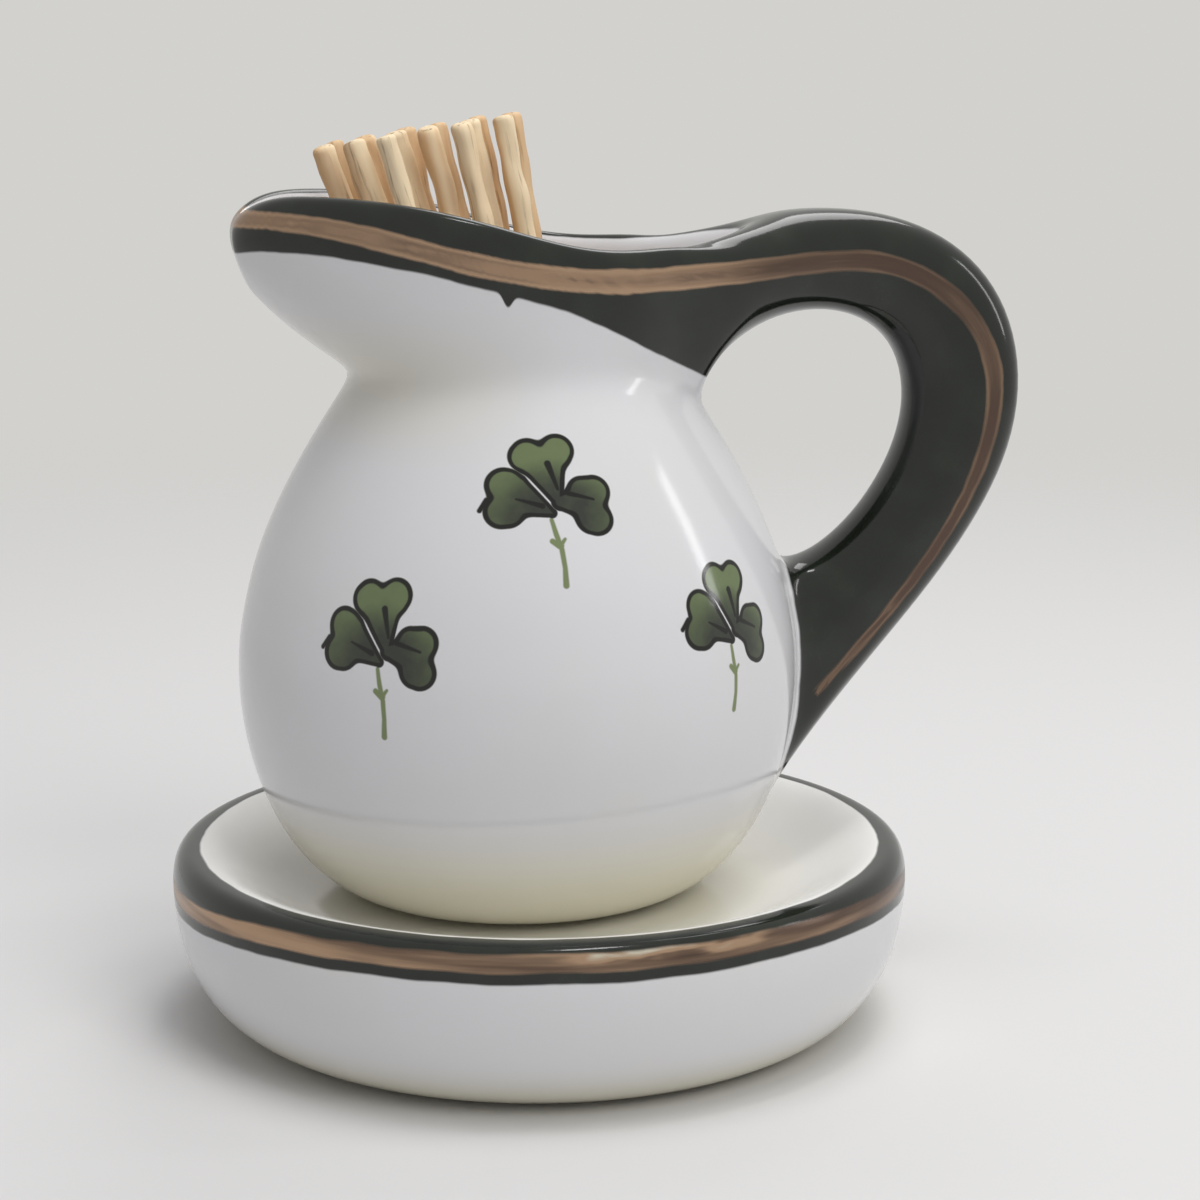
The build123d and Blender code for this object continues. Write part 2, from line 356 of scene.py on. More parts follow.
def glaze(place, cream_light_and_shade, decals_and_painted_light, green, copper, brush_and_sheen, bare):
    """Glossy glaze on porcelain: white with cream and painted warm light and shade, then each decal and
    painted light, then green and copper bands with painted highlights and shade, and bare clay.
    """
    cloud = place.noise(CLOUD_SCALE, FINE_DETAIL).rise(*CLOUD_RANGE) * CLOUD_DEPTH
    # Cream, painted warm light and painted shade warm the white.
    tint = cream_light_and_shade.most(cloud).between(GLAZE_WHITE, CREAM_AND_PAINTED_WARMTH)
    for mask, colour in decals_and_painted_light:
        tint = mask.between(tint, colour)
    thin = place.noise(THIN_SCALE).rise(*THIN_RANGE) * THIN_DEPTH
    tint = green.between(tint, thin.between(GLAZE_GREEN, GLAZE_GREEN_THIN))
    lustre = brush_and_sheen.rise(*LUSTRE_RANGE).between(COPPER_DARK, COPPER_LIGHT)
    # The palest copper is random pale spots and painted highlights.
    lustre = brush_and_sheen.rise(*PALE_AND_SHEEN_RANGE).between(lustre, COPPER_PALE_AND_SHEEN)
    tint = copper.between(tint, lustre)
    tint = bare.between(tint, BARE_CLAY)
    relief = place.noise(WAVE_SCALE) + place.noise(PIT_SCALE) * PIT_RELIEF
    relief = relief + green * GREEN_RELIEF + copper * COPPER_RELIEF
    dress(
        place,
        {
            "Base Color": tint,
            "Roughness": GLAZE_ROUGHNESS + copper * COPPER_ROUGHNESS + bare * BARE_ROUGHNESS,
            "Metallic": copper * COPPER_METAL,
            "Normal": relief.bump(RIPPLE_STRENGTH, RIPPLE_DEPTH),
            "IOR": GLAZE_IOR,
        },
    )


BASIN_GREEN_R = 27.75 * MM
BASIN_GREEN_LOW = 11.8 * MM
BASIN_COPPER_LOW = 12.65 * MM
BASIN_COPPER_TOP = 13.95 * MM
BAND_SAG = 1.4 * MM
SAG_POWER = 3.0
BAND_SCALE = 160.0
BAND_WOBBLE = 0.5 * MM
BASIN_BARE_EDGE = (0.1 * MM, 0.3 * MM)
FOOT_CREAM = 5.5 * MM
CREAM_AND_BOUNCE_DEPTH = 0.8
BRUSH_STRETCH = (0.06, 0.06, 1.0)
BRUSH_SCALE = 900.0
COPPER_LIFT = 0.08
# How much the copper darkens: towards the right of the basin as painted shade, and onto the jug's handle.
COPPER_DARKENING = 0.3
SHADED_SIDE_RUN = (-0.2 * BASIN_R, 0.6 * BASIN_R)
# Painted highlight: where pale streaks run in the copper at the front of the rim.
SHEEN_LEFT = (-0.15 * BASIN_R, 0.0)
SHEEN_RIGHT = (0.3 * BASIN_R, 0.5 * BASIN_R)
SHEEN_BACK = (-1.0 * MM, 0.0)
SHEEN_HEIGHTS = (BASIN_COPPER_LOW + 0.4 * MM, BASIN_COPPER_TOP - 0.3 * MM)
SHEEN_STRETCH = (0.2, 0.2, 1.0)
SHEEN_SCALE = 1000.0
SHEEN_RANGE = (0.38, 0.7)
# Painted light: the dish is a brighter white than the rest of the glaze.
LIT_DISH_WHITE = paint("f7f6f2")
DISH_EDGE = (DISH_Z - 0.5 * MM, DISH_Z - 0.3 * MM)
# Painted shade: a warm tint in the dish round the jug's foot.
FOOT_SHADE_RUN = (14.0 * MM, 23.0 * MM)
FOOT_SHADE_DEPTH = 0.45

place = new_finish(basin, "basin_glaze")
x, y, z = apart(place)
radius = (x * x + y * y) ** 0.5
wobble = place.sway(BAND_SCALE, BAND_WOBBLE)
outer = past(radius + wobble, BASIN_GREEN_R)
height = z + wobble + (x * x / (radius * radius)) ** SAG_POWER * BAND_SAG
green = outer * past(height, BASIN_GREEN_LOW)
copper = outer * past(height, BASIN_COPPER_LOW) * (1 - past(height, BASIN_COPPER_TOP))
# Brush noise in the copper, to which painted shade and painted highlights are added.
brush_and_sheen = place.vector("MULTIPLY", BRUSH_STRETCH).noise(BRUSH_SCALE, FINE_DETAIL)
# Painted shade: the copper darkens towards the right of the basin.
brush_and_sheen = brush_and_sheen + COPPER_LIFT - x.rise(*SHADED_SIDE_RUN) * COPPER_DARKENING
# Painted highlight: pale streaks in the copper at the front of the rim.
painted_sheen = x.rise(*SHEEN_LEFT) * x.fall(*SHEEN_RIGHT) * y.fall(*SHEEN_BACK) * height.rise(*SHEEN_HEIGHTS)
painted_sheen = painted_sheen * place.vector("MULTIPLY", SHEEN_STRETCH).noise(SHEEN_SCALE).rise(*SHEEN_RANGE)
# Painted light: the dish in a brighter white, and painted shade in warm cream round the jug's foot.
dish = (1 - outer) * z.rise(*DISH_EDGE)
# Painted shade: warm cream round the jug's foot.
warm_shade = dish * radius.fall(*FOOT_SHADE_RUN) * FOOT_SHADE_DEPTH
painted_light_and_shade = [(dish, LIT_DISH_WHITE), (warm_shade, CREAM_AND_PAINTED_WARMTH)]
bare = z.fall(*BASIN_BARE_EDGE) * radius.rise(hollow_r, hollow_r + FOOT_EDGE)
glaze(place, z.fall(0.0, FOOT_CREAM) * CREAM_AND_BOUNCE_DEPTH, painted_light_and_shade, green, copper, brush_and_sheen + painted_sheen, bare)
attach(basin, "basin")
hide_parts("basin")

# Jug
# A small slip-cast porcelain pitcher. The round belly is pinched at the neck, and the collar above it is
# drawn out to a pouring lip. At the back the rim runs on into a cast loop handle, which is stuck on with slip
# and lost under the same glaze.
JUG_X = -1.75 * MM
JUG_COLUMNS = 64
JUG_WALL = 2.2 * MM
JUG_FOOT_R = 11.4 * MM
JUG_FLARE = 6.6 * MM
FOOT_RECESS_R = 9.0 * MM
FOOT_RECESS = 0.7 * MM
BELLY_R = 22.6 * MM
BELLY_HEIGHT = 18.2 * MM
BELLY_RISE = 10.0 * MM
BELLY_STEPS = 80
SHOULDER_RUN = 4.2 * MM
SHOULDER_FALL = 6.3 * MM
NECK_R = 12.9 * MM
NECK_HEIGHT = 42.3 * MM
WAIST_HEIGHT = NECK_HEIGHT + 6.1 * MM
MOUTH_HEIGHT = NECK_HEIGHT + 15.9 * MM
# The reach to the lip and to the tail, half the width, and the round of both ends.
WAIST = (20.6 * MM, 17.6 * MM, 13.5 * MM, 6.0 * MM)
MOUTH = (22.7 * MM, 20.6 * MM, 14.0 * MM, 4.2 * MM)
RIM_DEPTH = 1.1 * MM
RIM_EDGE = 0.45 * MM
RIM_CROWN = 0.15 * MM
RIM_INSIDE = 0.4
RIM_ROUNDS = 12
LINE_STEPS = 40
HANDLE_HALF_WIDTH = 3.5 * MM
HANDLE_COLUMNS = 5
TAIL_FOOT = 7.8 * MM
TAIL_TOP = 22.0 * MM
TAIL_RINGS = 8
ROOT_HEIGHT = 40.0 * MM
ROOT_HALF_WIDTH = 5.0 * MM
ROOT_TURNS = [radians(turn) for turn in (30, 38, 44, 48, 50)]
ROOT_SHARES = [0.0, 0.2, 0.48, 0.74, 1.0]


def millimetres(stretches):
    """Stretches of a curve, from control points in millimetres."""
    return [np.array(points) * MM for points in stretches]


RIM_LINE = millimetres(
    [
        [(-23.2, 50.5), (-23.2, 56.2), (-17.1, 56.2)],
        [(-17.1, 56.2), (-5.05, 56.2), (0.0, 52.1), (7.0, 52.1)],
        [(7.0, 52.1), (13.8, 52.1), (20.6, 53.9)],
    ]
)
rim_line = np.concatenate([bezier(points, LINE_STEPS) for points in RIM_LINE])


def belly_line(inset, floor):
    """Half outline of the belly from its floor to the neck, moved in by a wall."""
    foot_r = JUG_FOOT_R - inset / 2
    wide_r = BELLY_R - inset
    neck_r = NECK_R - inset
    swell = (wide_r, (BELLY_HEIGHT + floor) / 2)
    lower = [(foot_r, floor), (foot_r + JUG_FLARE, floor), swell, (wide_r, BELLY_HEIGHT)]
    shoulder = (neck_r + SHOULDER_RUN, NECK_HEIGHT - SHOULDER_FALL)
    upper = [(wide_r, BELLY_HEIGHT), (wide_r, BELLY_HEIGHT + BELLY_RISE), shoulder, (neck_r, NECK_HEIGHT)]
    return np.concatenate([bezier(lower, BELLY_STEPS), bezier(upper, BELLY_STEPS)])


outer_belly = belly_line(0.0, 0.0)
inner_belly = belly_line(JUG_WALL, JUG_WALL)


def belly_r(height, line=outer_belly):
    return np.interp(height, line[:, 1], line[:, 0])


def towards_back(turn):
    """How far a column at this turn follows the handle's root: well at the back, and hardly at the lip."""
    return sin(turn) * ((1 + cos(turn)) / 2) ** 2


def jug_turns(wanted):
    """Turns of the columns, spread so that those beside the handle's root stand at the wanted turn."""
    turns = even_turns(JUG_COLUMNS)
    corner = turns[HANDLE_COLUMNS]
    spread = (wanted - corner) / towards_back(corner)
    return [turn + spread * towards_back(turn) for turn in turns]


def mouth_point(turn, sizes, inset):
    """Point of an ellipse whose two ends are pinched to a smaller round."""
    lip, tail, half_width, end_r = [size - inset for size in sizes]
    reach = (lip + tail) / 2
    pinch = 1 - (end_r * reach) ** 0.5 / half_width
    across = reach * cos(turn) - (lip - tail) / 2
    return np.array([across, half_width * sin(turn) * (1 - pinch * cos(turn) ** 2)])


def collar_point(turn, height, inset):
    """Point of the collar at a height: the round neck is drawn out through the waist to the mouth."""
    neck = (NECK_R - inset) * np.array([cos(turn), sin(turn)])
    waist = mouth_point(turn, WAIST, inset)
    mouth = mouth_point(turn, MOUTH, inset)
    share = (height - NECK_HEIGHT) / (MOUTH_HEIGHT - NECK_HEIGHT)
    middle = (WAIST_HEIGHT - NECK_HEIGHT) / (MOUTH_HEIGHT - NECK_HEIGHT)
    return (
        neck * (share - middle) * (share - 1) / middle
        + waist * share * (share - 1) / (middle * (middle - 1))
        + mouth * share * (share - middle) / (1 - middle)
    )


def rim_height(turn, inset):
    """Height of the rim on the collar's outer or inner face, which settles in a few rounds."""
    height = MOUTH_HEIGHT
    for step in range(RIM_ROUNDS):
        height = np.interp(collar_point(turn, height, inset)[0], rim_line[:, 0], rim_line[:, 1])
    return height


def jug_place(across, deep, height):
    """Place in the scene of a point that is measured from the middle of the jug's foot."""
    return (JUG_X + across, deep, DISH_Z + height)


def flat_ring(radius, height):
    """Ring under the jug's foot or on its floor."""
    return round_ring(radius, DISH_Z + height, jug_turns(asin(HANDLE_HALF_WIDTH / JUG_FOOT_R)), JUG_X)


def belly_ring(height, line=outer_belly):
    """Ring of the belly, with its columns drawn in beside the handle."""
    radius = belly_r(height, line)
    half_width = np.interp(height, [TAIL_TOP, ROOT_HEIGHT], [HANDLE_HALF_WIDTH, ROOT_HALF_WIDTH])
    return round_ring(radius, DISH_Z + height, jug_turns(asin(half_width / radius)), JUG_X)


def collar_ring(share, inset, drop=0.0):
    """Ring of the collar at a share of its height, or a drop below the rim."""
    ring = []
    for turn in jug_turns(np.interp(share, ROOT_SHARES, ROOT_TURNS)):
        top = rim_height(turn, inset)
        height = NECK_HEIGHT + share * (top - NECK_HEIGHT) - drop
        ring.append(jug_place(*collar_point(turn, height, inset), height))
    return ring


FOOT_HEIGHTS = np.array([0.35, 1.1, 2.4, 4.2, 6.0]) * MM
TAIL_HEIGHTS = np.linspace(TAIL_FOOT, TAIL_TOP, TAIL_RINGS)
SHOULDER_HEIGHTS = np.array([26.0, 29.0, 32.0, 35.0, 37.8]) * MM
HOLLOW_HEIGHTS = np.array([39.0, 36.0, 32.5, 28.5, 24.0, 19.0, 14.0, 10.0, 7.0, 4.6, 3.0, 2.4]) * MM
COLLAR_INSIDE_SHARES = (0.7, 0.35, 0.0)
FLOOR_SHARES = (0.75, 0.45, 0.15)
rings = [
    flat_ring(FOOT_RECESS_R * CENTRE_SHARE, FOOT_RECESS),
    flat_ring(FOOT_RECESS_R - 2 * FOOT_RECESS, FOOT_RECESS),
    flat_ring(FOOT_RECESS_R, FOOT_RECESS / 2),
    flat_ring(FOOT_RECESS_R + FOOT_RECESS, 0.0),
    flat_ring(JUG_FOOT_R, 0.0),
]
rings += [belly_ring(height) for height in FOOT_HEIGHTS]
tail_row = len(rings)
rings += [belly_ring(height) for height in TAIL_HEIGHTS]
tail_end_row = len(rings) - 1
rings += [belly_ring(height) for height in (*SHOULDER_HEIGHTS, ROOT_HEIGHT)]
root_row = len(rings) - 1
neck_row = len(rings)
rings += [collar_ring(share, 0.0) for share in ROOT_SHARES[:-1]]
rings += [
    collar_ring(1.0, 0.0, RIM_DEPTH),
    collar_ring(1.0, RIM_EDGE, -RIM_CROWN),
    collar_ring(1.0, JUG_WALL - RIM_EDGE, -RIM_CROWN),
]
root_end_row = len(rings) - 1
rings += [collar_ring(1.0, JUG_WALL, RIM_DEPTH)]
rings += [collar_ring(share, JUG_WALL) for share in COLLAR_INSIDE_SHARES]
rings += [belly_ring(height, inner_belly) for height in HOLLOW_HEIGHTS]
rings += [flat_ring(share * JUG_FOOT_R, JUG_WALL) for share in FLOOR_SHARES]
# The rows of the inner wall are marked, so that the outer bands stop at the rim.
inside = [1.0 if row > root_end_row else 0.0 for row in range(len(rings))]
inside[root_end_row] = RIM_INSIDE

jug = begin_piece("glazed_jug", JUG_COLUMNS, FOOT_RECESS_R * CENTRE_SHARE)
raise_wall(jug, rings, inside)


def patch_loop(top, bottom):
    """Columns and rows round a patch at the back, from the middle of its top row."""
    side = HANDLE_COLUMNS
    step = 1 if bottom > top else -1
    right = [(column, top) for column in range(side)] + [(side, row) for row in range(top, bottom, step)]
    right += [(column, bottom) for column in range(side, 0, -1)] + [(0, bottom)]
    left = [(-column % JUG_COLUMNS, row) for column, row in right[-2:0:-1]]
    return right + left


def open_patch(piece, top, bottom):
    """Takes out a patch of faces at the back and leaves its rim of edges selected and numbered."""
    loop = {place: number for number, place in enumerate(patch_loop(top, bottom))}
    columns = [column % JUG_COLUMNS for column in range(-HANDLE_COLUMNS, HANDLE_COLUMNS + 1)]
    rows = range(min(top, bottom), max(top, bottom) + 1)
    shape = bmesh.from_edit_mesh(piece.data)
    ints = shape.verts.layers.int
    bpy.ops.mesh.select_all(action="DESELECT")
    for face in shape.faces:
        if all(vert[ints["column"]] in columns and vert[ints["row"]] in rows for vert in face.verts):
            face.select_set(True)
    bmesh.update_edit_mesh(piece.data)
    bpy.ops.mesh.delete(type="FACE")
    shape = bmesh.from_edit_mesh(piece.data)
    ints = shape.verts.layers.int
    for edge in shape.edges:
        if edge.is_boundary:
            edge.select_set(True)
    for vert in shape.verts:
        if vert.select:
            number = vert[ints["column"]]
            vert[ints["column"]] = loop.get((number, vert[ints["row"]]), number)
    bmesh.update_edit_mesh(piece.data)


HANDLE_OUTSIDE = millimetres(
    [
        [(18.5, 53.9), (30.2, 56.8), (41.6, 52.3), (41.6, 40.0)],
        [(41.6, 40.0), (41.6, 30.4), (30.4, 18.7), (19.0, 7.8)],
    ]
)
HANDLE_INSIDE = millimetres(
    [
        [(12.9, 39.15), (16.9, 49.4), (32.3, 49.4), (32.3, 40.0)],
        [(32.3, 40.0), (32.3, 33.7), (27.6, 28.0), (21.0, 23.2)],
    ]
)
HANDLE_STEPS = 50
UPPER_STEPS = [3, 8, 15, 22, 29, 36, 43, 50]
LOWER_STEPS = [8, 15, 22, 29, 35]
HANDLE_SQUARENESS = 2.5
HANDLE_SPARE = 1.03
ROOT_FLARE = 4.0 * MM
FLARE_POWER = 4
SMOOTHING = 0.5
SLIP_ROUNDS = 9
ROOT_CORNER = Vector(jug_place(11.0 * MM, 6.0 * MM, 43.0 * MM))
CORNER_REACH = 3.4 * MM
CORNER_ROUNDS = 5
NECK_CREASE = 0.2
CREASE_STARTS = 0.25
JUG_LEVELS = 2


def handle_section(outer, inner, half_width):
    """Section of the handle between its outside and its finger hole: a rectangle with well rounded sides."""
    middle = (outer + inner) / 2
    reach = (outer - inner) / 2 * HANDLE_SPARE
    power = 2 / HANDLE_SQUARENESS
    section = []
    for turn in even_turns(len(patch_loop(root_end_row, root_row))):
        along = copysign(abs(cos(turn)) ** power, cos(turn))
        aside = copysign(abs(sin(turn)) ** power, sin(turn))
        across, height = middle + reach * along
        section.append(jug_place(across, half_width * HANDLE_SPARE * aside, height))
    return section


# The handle is drawn out of the back of the collar and brought round to the belly. The slip that fixes it
# fills the corners of both roots.
open_patch(jug, root_end_row, root_row)
outsides = [bezier(points, HANDLE_STEPS) for points in HANDLE_OUTSIDE]
insides = [bezier(points, HANDLE_STEPS) for points in HANDLE_INSIDE]
for half, steps in enumerate((UPPER_STEPS, LOWER_STEPS)):
    for step in steps:
        flare = 0.0 if half else ROOT_FLARE * (1 - step / HANDLE_STEPS) ** FLARE_POWER
        section = handle_section(outsides[half][step], insides[half][step], HANDLE_HALF_WIDTH + flare)
        bpy.ops.mesh.extrude_region()
        place_ring(jug, section, -1)
open_patch(jug, tail_row, tail_end_row)
bpy.ops.mesh.bridge_edge_loops()
bpy.ops.mesh.vertices_smooth(factor=SMOOTHING, repeat=SLIP_ROUNDS)
bpy.ops.mesh.select_all(action="DESELECT")
shape = bmesh.from_edit_mesh(jug.data)
depth = shape.verts.layers.float["inside"]
for vert in shape.verts:
    away = (Vector((vert.co.x, abs(vert.co.y), vert.co.z)) - ROOT_CORNER).length
    vert.select_set(away < CORNER_REACH and vert[depth] == 0.0)
bmesh.update_edit_mesh(jug.data)
bpy.ops.mesh.vertices_smooth(factor=SMOOTHING, repeat=CORNER_ROUNDS)

# The neck is pinched sharper under the lip than elsewhere.
shape = bmesh.from_edit_mesh(jug.data)
rows = shape.verts.layers.int["row"]
creases = shape.edges.layers.float.new("crease_edge")
for edge in shape.edges:
    if all(vert[rows] == neck_row for vert in edge.verts):
        towards_lip = (JUG_X - (edge.verts[0].co.x + edge.verts[1].co.x) / 2) / NECK_R
        edge[creases] = NECK_CREASE * max(0.0, (towards_lip - CREASE_STARTS) / (1 - CREASE_STARTS))
bmesh.update_edit_mesh(jug.data)
bpy.ops.mesh.select_all(action="SELECT")
bpy.ops.mesh.normals_make_consistent(inside=False)


def round_off(piece, levels):
    """Leaves edit mode and rounds the piece off with a subdivision surface."""
    bpy.ops.object.mode_set(mode="OBJECT")
    bpy.ops.object.modifier_add(type="SUBSURF")
    rounding = piece.modifiers[-1]
    rounding.levels = levels
    bpy.ops.object.modifier_apply(modifier=rounding.name)
    bpy.ops.object.shade_smooth()


def points_of(piece):
    """The places of a mesh's points, one in each row."""
    points = np.empty(3 * len(piece.data.vertices))
    piece.data.vertices.foreach_get("co", points)
    return points.reshape(-1, 3)


def keep_number(piece, name, numbers):
    """Keeps one number at each point of the mesh, for the finish to read."""
    piece.data.attributes.new(name, "FLOAT", "POINT").data.foreach_set("value", numbers)


round_off(jug, JUG_LEVELS)

GREEN_EDGE = millimetres(
    [
        [(-23.5, 51.5), (-17.0, 53.6), (-4.0, 49.6), (2.0, 47.9)],
        [(2.0, 47.9), (6.0, 46.2), (10.0, 44.1), (15.0, 41.6)],
    ]
)
ROOT_MARGIN = 0.35 * MM
ROOT_END = 15.0 * MM
INSIDE_REACH = 2.0 * MM
INSIDE_STARTS = 0.5
COPPER_LINE = millimetres(
    [
        [(-22.8, 54.4), (-11.5, 55.0), (-7.0, 50.1), (8.0, 49.95)],
        [(8.0, 49.95), (17.0, 49.9), (22.0, 50.9), (27.0, 50.8)],
        [(27.0, 50.8), (33.2, 50.5), (38.7, 45.8), (38.7, 40.0)],
        [(38.7, 40.0), (38.7, 34.0), (34.5, 25.5), (23.5, 15.4)],
    ]
)
COPPER_STEPS = 60
COPPER_HALF_WIDTHS = np.array([0.65, 0.95, 0.8, 0.75, 0.4]) * MM

# How deep each point lies in the green and in the copper line, and how far along that line it is.
across, deep, height = (points_of(jug) - np.array([JUG_X, 0.0, DISH_Z])).T
depth_inside = np.empty(len(height))
jug.data.attributes["inside"].data.foreach_get("value", depth_inside)
on_outside = (INSIDE_STARTS - depth_inside) * INSIDE_REACH
edge_line = np.concatenate([bezier(points, LINE_STEPS) for points in GREEN_EDGE])
above_edge = height - np.interp(across, edge_line[:, 0], edge_line[:, 1])
clear_of_belly = np.hypot(across, deep) - belly_r(np.minimum(height, NECK_HEIGHT)) - ROOT_MARGIN
on_handle = np.minimum(clear_of_belly, HANDLE_HALF_WIDTH + ROOT_FLARE - abs(deep))
on_handle = np.minimum(on_handle, across - ROOT_END)
keep_number(jug, "in_green", np.minimum(np.maximum(above_edge, on_handle), on_outside))
copper_line = np.concatenate([bezier(points, COPPER_STEPS)[:-1] for points in COPPER_LINE])
width_places = COPPER_STEPS * np.arange(len(COPPER_HALF_WIDTHS))
half_widths = np.interp(np.arange(len(copper_line)), width_places, COPPER_HALF_WIDTHS)
off_line = np.hypot(across[:, None] - copper_line[:, 0], height[:, None] - copper_line[:, 1])
nearest = off_line.argmin(axis=1)
keep_number(jug, "in_copper", np.minimum(half_widths[nearest] - off_line.min(axis=1), on_outside))
runs = np.hypot(*np.diff(copper_line, axis=0).T)
keep_number(jug, "along_copper", np.concatenate([[0.0], np.cumsum(runs)])[nearest])
drop_marks(jug)

# Each sprig's place across and up the belly, its turn in degrees and its size.
SPRIGS = [
    (0.15 * MM, 33.2 * MM, 0.0, 1.0),
    (-12.9 * MM, 22.3 * MM, -1.0, 1.0),
    (14.15 * MM, 22.9 * MM, -10.5, 0.96),
]
SPRIG_REACH = 8.3 * MM
# Brush strokes in the sprig's own millimetres: where each starts and ends, and its radius there.
TOP_LEAF = [
    ((0.5, 0.9), (-0.4, 4.2), 0.3, 1.7),
    ((-1.75, 5.0), (-1.6, 5.15), 1.33, 1.33),
    ((0.5, 5.2), (0.6, 5.4), 1.36, 1.36),
]
LEFT_LEAF = [
    ((-0.12, 0.42), (-2.75, 1.85), 0.4, 1.7),
    ((-3.55, 2.85), (-3.4, 2.8), 1.4, 1.4),
    ((-3.8, 0.8), (-3.4, 0.8), 1.4, 1.4),
]
RIGHT_LEAF = [
    ((0.6, 1.3), (2.5, 1.25), 0.75, 1.5),
    ((2.3, 2.15), (3.15, 2.15), 1.2, 1.3),
    ((2.9, 0.05), (3.2, -0.05), 1.35, 1.32),
]
VEINS = [
    ((0.45, 2.3), (-0.15, 4.35), 0.12, 0.26),
    ((1.2, 1.95), (3.1, 1.5), 0.2, 0.1),
    ((-0.8, 1.0), (-2.7, 1.65), 0.22, 0.08),
    ((-4.85, 1.8), (-5.4, 1.0), 0.2, 0.2),
]
STEM = [
    ((-0.2, -0.1), (0.05, -1.2), 0.16, 0.2),
    ((0.05, -1.2), (0.4, -2.4), 0.2, 0.2),
    ((0.4, -2.4), (0.55, -3.8), 0.2, 0.19),
    ((0.55, -3.8), (0.55, -5.1), 0.19, 0.24),
    ((-0.25, -1.75), (0.3, -2.1), 0.22, 0.3),
    ((0.3, -2.1), (0.7, -1.6), 0.2, 0.12),
]
LEAF_BLEND = 0.8
OUTLINE = 0.4
OUTLINE_LEAST = 0.5
OUTLINE_SWELL = 0.8
OUTLINE_SCALE = 380.0
INK_BLUR = 0.07
HEART_RUN = (1.5, 26.0)
UPWARD_RUN = (0.5, 5.0)
UPWARD_SHARE = 0.5
WASH_SCALE = 900.0
WASH_SPAN = 0.4
OUTLINE_INK = paint("0d0e0b")
LEAF_GREEN = paint("687650")
LEAF_SHADE = paint("31352d")
STEM_OLIVE = paint("78845a")


def nearest_sprig(place):
    """Place across and along the sprig that is nearest, in its own millimetres, and how far off it is."""
    found = None
    for across, height, turn, size in SPRIGS:
        radius = belly_r(height)
        deep = -((radius**2 - across**2) ** 0.5)
        slope = (belly_r(height + MM) - belly_r(height - MM)) / (2 * MM)
        right = Vector((-deep, across, 0.0)) / radius
        up = Vector((slope * across / radius, slope * deep / radius, 1.0)).normalized()
        sideways = (right * cos(radians(turn)) + up * sin(radians(turn))) / (size * MM)
        upright = (up * cos(radians(turn)) - right * sin(radians(turn))) / (size * MM)
        offset = place.vector("SUBTRACT", jug_place(across, deep, height))
        sprig = (offset.dot(sideways), offset.dot(upright), offset.dot(offset) ** 0.5)
        if found:
            nearer = sprig[2].below(found[2])
            sprig = [new * nearer + old * (1 - nearer) for new, old in zip(sprig, found)]
        found = sprig
    return found


def stroke(across, along, start, end, start_r, end_r):
    """Distance outside a painted stroke that runs from one round end to another."""
    run = (end[0] - start[0], end[1] - start[1])
    reach = run[0] ** 2 + run[1] ** 2
    lead = (start[0] * run[0] + start[1] * run[1]) / reach
    share = (across * (run[0] / reach) + along * (run[1] / reach) - lead).least(1.0).most(0.0)
    aside = across - (share * run[0] + start[0])
    above = along - (share * run[1] + start[1])
    return (aside * aside + above * above) ** 0.5 - (share * (end_r - start_r) + start_r)


def painted(across, along, strokes, blend=0.0):
    """Distance outside a group of painted strokes, which run into each other over the blend."""
    group = stroke(across, along, *strokes[0])
    for ends in strokes[1:]:
        group = group.math("SMOOTH_MIN", group, stroke(across, along, *ends), blend)
    return group


def shamrock(place):
    """A hand-painted sprig: three notched leaves in green, outlined in black, on a thin stem."""
    across, along, off = nearest_sprig(place)
    leaves = painted(across, along, TOP_LEAF, LEAF_BLEND)
    for strokes in (LEFT_LEAF, RIGHT_LEAF):
        leaves = leaves.least(painted(across, along, strokes, LEAF_BLEND))
    half_line = (place.noise(OUTLINE_SCALE) * OUTLINE_SWELL + OUTLINE_LEAST) * (OUTLINE / 2)
    lines = painted(across, along, VEINS).least(abs(leaves + half_line) - half_line)
    near = off.below(SPRIG_REACH)
    on_stem = near * painted(across, along, STEM).fall(-INK_BLUR, INK_BLUR)
    on_leaf = near * leaves.fall(-INK_BLUR, INK_BLUR)
    on_line = near * lines.fall(-INK_BLUR, INK_BLUR)
    fresh = (across * across + along * along).rise(*HEART_RUN)
    fresh = fresh * (along.rise(*UPWARD_RUN) * UPWARD_SHARE + (1 - UPWARD_SHARE))
    wash = (fresh + place.sway(WASH_SCALE, WASH_SPAN)).between(LEAF_SHADE, LEAF_GREEN)
    return [(on_stem, STEM_OLIVE), (on_leaf, wash), (on_line, OUTLINE_INK)]


JUG_BAND_SCALE = 260.0
JUG_BAND_WOBBLE = 0.35 * MM
DRIP_X = -2.5 * MM
DRIP_Y = -12.5 * MM
DRIP_LENGTH = 0.9 * MM
DRIP_WIDTH = 0.45 * MM
# Along this run of the copper line, from the back of the collar onto the handle, the copper darkens.
HANDLE_DARK_RUN = (34.0 * MM, 52.0 * MM)
# Painted highlight: both edges of the copper line are lighter, over this width and by this much.
EDGE_SHEEN_WIDTH = 0.4 * MM
EDGE_SHEEN_LIFT = 0.12
JUG_BARE_EDGE = (DISH_Z + 0.1 * MM, DISH_Z + 0.25 * MM)
# Painted light: a warm glow on the lower belly, thrown back from the dish.
DISH_BOUNCE_RUN = (DISH_Z + 3.0 * MM, DISH_Z + 12.0 * MM)
# Painted shade: a warm tint in the neck under the lip.
NECK_SHADE_REACH = 7.0 * MM
NECK_SHADE_RUN = (-0.3 * NECK_R, NECK_R)
NECK_SHADE_DEPTH = 0.5

